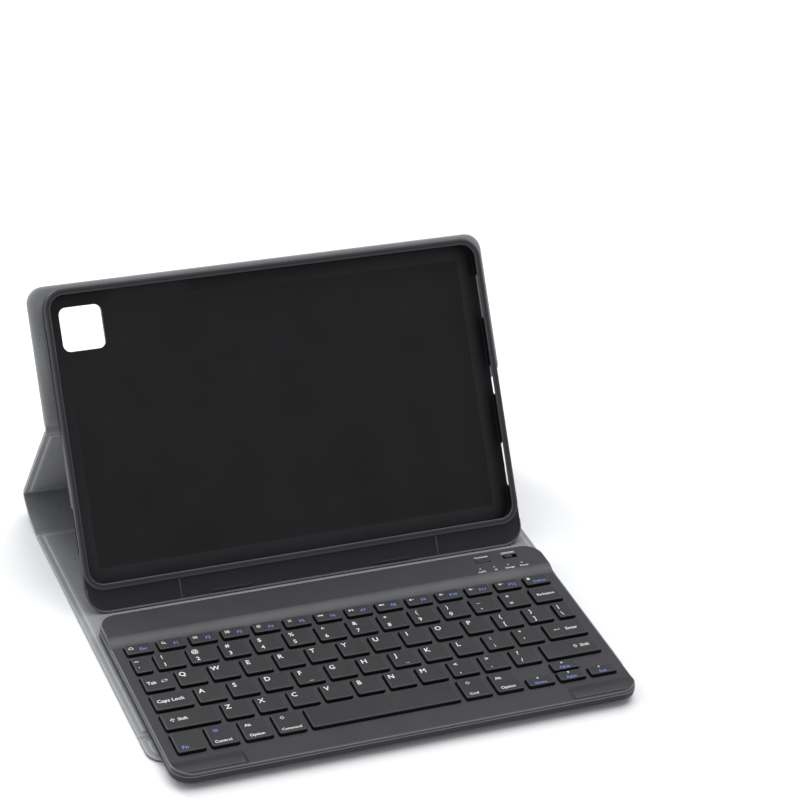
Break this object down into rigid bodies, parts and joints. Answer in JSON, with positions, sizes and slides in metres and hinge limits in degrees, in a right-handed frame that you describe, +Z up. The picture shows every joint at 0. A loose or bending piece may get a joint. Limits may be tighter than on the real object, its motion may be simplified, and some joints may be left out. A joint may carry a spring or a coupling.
{
  "type": "tablet keyboard case",
  "caption": "Folding tablet stand case in navy leather with a clip-in tray and a flat detachable wireless keyboard, set up for typing.",
  "frame": {"origin": "middle of the ground area that the open case covers, on the surface it stands on", "axes": "+X to the typist's right along the keyboard, +Y away from the typist, +Z up"},
  "size_m": [0.255, 0.2492, 0.1405],
  "materials": {
    "cover_leather": "fine-grained navy artificial leather, satin",
    "lining": "grey microfibre, matt",
    "board": "raw grey-brown fibre board",
    "tray_plastic": "black moulded plastic, fine satin",
    "shell_plastic": "charcoal moulded plastic, fine matt texture",
    "key_plastic": "black moulded plastic, matt",
    "steel": "bright steel sheet",
    "magnet": "nickel-plated magnet",
    "circuit": "green solder mask",
    "battery_foil": "wrapped foil pouch",
    "dome_rubber": "translucent grey rubber and film",
    "foot_rubber": "black rubber",
    "lens": "clear moulded light guide"
  },
  "bodies": {
    "base": {"front_skin": "cover_leather", "front_board": "board", "front_lining": "lining", "steel_plates": "steel"},
    "edge": {"edge_skin": "cover_leather", "edge_board": "board", "edge_lining": "lining"},
    "flap": {"flap_skin": "cover_leather", "flap_board": "board", "flap_lining": "lining", "flap_magnets": "magnet"},
    "spine": {"spine_skin": "cover_leather", "spine_lining": "lining"},
    "prop": {"prop_skin": "cover_leather", "prop_board": "board", "prop_lining": "lining"},
    "tray": {"back_skin": "cover_leather", "back_board": "board", "back_lining": "lining", "tray_shell": "tray_plastic", "chin_magnets": "magnet"},
    "keyboard": {"top_deck": "shell_plastic", "bottom_shell": "shell_plastic", "key_plate": "steel", "dome_sheet": "dome_rubber", "circuit_board": "circuit", "battery": "battery_foil", "charging_port": "steel", "lamp_lenses": "lens", "keyboard_magnets": "magnet", "rubber_feet": "foot_rubber", "case_screws": "steel"},
    "switch_knob": {"power_switch": "key_plastic"},
    "connect_cap": {"connect_button": "key_plastic"},
    "esc_key_body": {"esc_key": "key_plastic"},
    "function_keys_body": {"function_keys": "key_plastic"},
    "delete_key_body": {"delete_key": "key_plastic"},
    "grave_key_body": {"grave_key": "key_plastic"},
    "number_keys_body": {"number_keys": "key_plastic"},
    "backspace_key_body": {"backspace_key": "key_plastic"},
    "tab_key_body": {"tab_key": "key_plastic"},
    "top_letter_keys_body": {"top_letter_keys": "key_plastic"},
    "backslash_key_body": {"backslash_key": "key_plastic"},
    "caps_key_body": {"caps_key": "key_plastic"},
    "home_letter_keys_body": {"home_letter_keys": "key_plastic"},
    "enter_key_body": {"enter_key": "key_plastic"},
    "left_shift_key_body": {"left_shift_key": "key_plastic"},
    "bottom_letter_keys_body": {"bottom_letter_keys": "key_plastic"},
    "right_shift_key_body": {"right_shift_key": "key_plastic"},
    "fn_key_body": {"fn_key": "key_plastic"},
    "control_key_body": {"control_key": "key_plastic"},
    "left_alt_key_body": {"left_alt_key": "key_plastic"},
    "left_command_key_body": {"left_command_key": "key_plastic"},
    "space_bar_body": {"space_bar": "key_plastic"},
    "right_command_key_body": {"right_command_key": "key_plastic"},
    "right_alt_key_body": {"right_alt_key": "key_plastic"},
    "left_arrow_key_body": {"left_arrow_key": "key_plastic"},
    "up_arrow_key_body": {"up_arrow_key": "key_plastic"},
    "down_arrow_key_body": {"down_arrow_key": "key_plastic"},
    "right_arrow_key_body": {"right_arrow_key": "key_plastic"}
  },
  "joints": [
    {"name": "edge_fold", "type": "hinge", "parent": "base", "child": "edge", "pos_m": [0, -0.08316, 0], "axis": [1, 0, 0], "range_deg": [0, 90]},
    {"name": "flap_fold", "type": "hinge", "parent": "edge", "child": "flap", "pos_m": [0, -0.10216, 0], "axis": [1, 0, 0], "range_deg": [0, 120]},
    {"name": "spine_fold", "type": "hinge", "parent": "base", "child": "spine", "pos_m": [0, 0.09684, 0.0013], "axis": [-1, 0, 0], "range_deg": [0, 21]},
    {"name": "prop_fold", "type": "hinge", "parent": "spine", "child": "prop", "pos_m": [0, 0.12111, 0.01062], "axis": [-1, 0, 0], "range_deg": [0, 100.5]},
    {"name": "tray_fold", "type": "hinge", "parent": "prop", "child": "tray", "pos_m": [0, 0.0827, 0.07578], "axis": [1, 0, 0], "range_deg": [0, 66.4]},
    {"name": "keyboard_lift", "type": "slide", "parent": "base", "child": "keyboard", "axis": [0, 0, 1], "range_m": [0, 0.04]},
    {"name": "switch_slide", "type": "slide", "parent": "keyboard", "child": "switch_knob", "axis": [1, 0, 0], "range_m": [0, 0.002]},
    {"name": "connect_press", "type": "slide", "parent": "keyboard", "child": "connect_cap", "axis": [0, 0, -1], "range_m": [0, 0.0005], "stiffness_N_per_m": 900},
    {"name": "esc_press", "type": "slide", "parent": "keyboard", "child": "esc_key_body", "axis": [0, 0, -1], "range_m": [0, 0.0016], "stiffness_N_per_m": 350},
    {"name": "function_group_press", "type": "slide", "parent": "keyboard", "child": "function_keys_body", "axis": [0, 0, -1], "range_m": [0, 0.0016], "stiffness_N_per_m": 350},
    {"name": "delete_press", "type": "slide", "parent": "keyboard", "child": "delete_key_body", "axis": [0, 0, -1], "range_m": [0, 0.0016], "stiffness_N_per_m": 350},
    {"name": "grave_press", "type": "slide", "parent": "keyboard", "child": "grave_key_body", "axis": [0, 0, -1], "range_m": [0, 0.0016], "stiffness_N_per_m": 350},
    {"name": "number_group_press", "type": "slide", "parent": "keyboard", "child": "number_keys_body", "axis": [0, 0, -1], "range_m": [0, 0.0016], "stiffness_N_per_m": 350},
    {"name": "backspace_press", "type": "slide", "parent": "keyboard", "child": "backspace_key_body", "axis": [0, 0, -1], "range_m": [0, 0.0016], "stiffness_N_per_m": 350},
    {"name": "tab_press", "type": "slide", "parent": "keyboard", "child": "tab_key_body", "axis": [0, 0, -1], "range_m": [0, 0.0016], "stiffness_N_per_m": 350},
    {"name": "top_letter_group_press", "type": "slide", "parent": "keyboard", "child": "top_letter_keys_body", "axis": [0, 0, -1], "range_m": [0, 0.0016], "stiffness_N_per_m": 350},
    {"name": "backslash_press", "type": "slide", "parent": "keyboard", "child": "backslash_key_body", "axis": [0, 0, -1], "range_m": [0, 0.0016], "stiffness_N_per_m": 350},
    {"name": "caps_press", "type": "slide", "parent": "keyboard", "child": "caps_key_body", "axis": [0, 0, -1], "range_m": [0, 0.0016], "stiffness_N_per_m": 350},
    {"name": "home_letter_group_press", "type": "slide", "parent": "keyboard", "child": "home_letter_keys_body", "axis": [0, 0, -1], "range_m": [0, 0.0016], "stiffness_N_per_m": 350},
    {"name": "enter_press", "type": "slide", "parent": "keyboard", "child": "enter_key_body", "axis": [0, 0, -1], "range_m": [0, 0.0016], "stiffness_N_per_m": 350},
    {"name": "left_shift_press", "type": "slide", "parent": "keyboard", "child": "left_shift_key_body", "axis": [0, 0, -1], "range_m": [0, 0.0016], "stiffness_N_per_m": 350},
    {"name": "bottom_letter_group_press", "type": "slide", "parent": "keyboard", "child": "bottom_letter_keys_body", "axis": [0, 0, -1], "range_m": [0, 0.0016], "stiffness_N_per_m": 350},
    {"name": "right_shift_press", "type": "slide", "parent": "keyboard", "child": "right_shift_key_body", "axis": [0, 0, -1], "range_m": [0, 0.0016], "stiffness_N_per_m": 350},
    {"name": "fn_press", "type": "slide", "parent": "keyboard", "child": "fn_key_body", "axis": [0, 0, -1], "range_m": [0, 0.0016], "stiffness_N_per_m": 350},
    {"name": "control_press", "type": "slide", "parent": "keyboard", "child": "control_key_body", "axis": [0, 0, -1], "range_m": [0, 0.0016], "stiffness_N_per_m": 350},
    {"name": "left_alt_press", "type": "slide", "parent": "keyboard", "child": "left_alt_key_body", "axis": [0, 0, -1], "range_m": [0, 0.0016], "stiffness_N_per_m": 350},
    {"name": "left_command_press", "type": "slide", "parent": "keyboard", "child": "left_command_key_body", "axis": [0, 0, -1], "range_m": [0, 0.0016], "stiffness_N_per_m": 350},
    {"name": "space_bar_press", "type": "slide", "parent": "keyboard", "child": "space_bar_body", "axis": [0, 0, -1], "range_m": [0, 0.0016], "stiffness_N_per_m": 350},
    {"name": "right_command_press", "type": "slide", "parent": "keyboard", "child": "right_command_key_body", "axis": [0, 0, -1], "range_m": [0, 0.0016], "stiffness_N_per_m": 350},
    {"name": "right_alt_press", "type": "slide", "parent": "keyboard", "child": "right_alt_key_body", "axis": [0, 0, -1], "range_m": [0, 0.0016], "stiffness_N_per_m": 350},
    {"name": "left_arrow_press", "type": "slide", "parent": "keyboard", "child": "left_arrow_key_body", "axis": [0, 0, -1], "range_m": [0, 0.0016], "stiffness_N_per_m": 350},
    {"name": "up_arrow_press", "type": "slide", "parent": "keyboard", "child": "up_arrow_key_body", "axis": [0, 0, -1], "range_m": [0, 0.0016], "stiffness_N_per_m": 350},
    {"name": "down_arrow_press", "type": "slide", "parent": "keyboard", "child": "down_arrow_key_body", "axis": [0, 0, -1], "range_m": [0, 0.0016], "stiffness_N_per_m": 350},
    {"name": "right_arrow_press", "type": "slide", "parent": "keyboard", "child": "right_arrow_key_body", "axis": [0, 0, -1], "range_m": [0, 0.0016], "stiffness_N_per_m": 350}
  ],
  "couplings": [
    {"joint": "prop_fold", "follows": "tray_fold", "ratio": 1.5113},
    {"joint": "spine_fold", "follows": "tray_fold", "ratio": 0.31476}
  ]
}
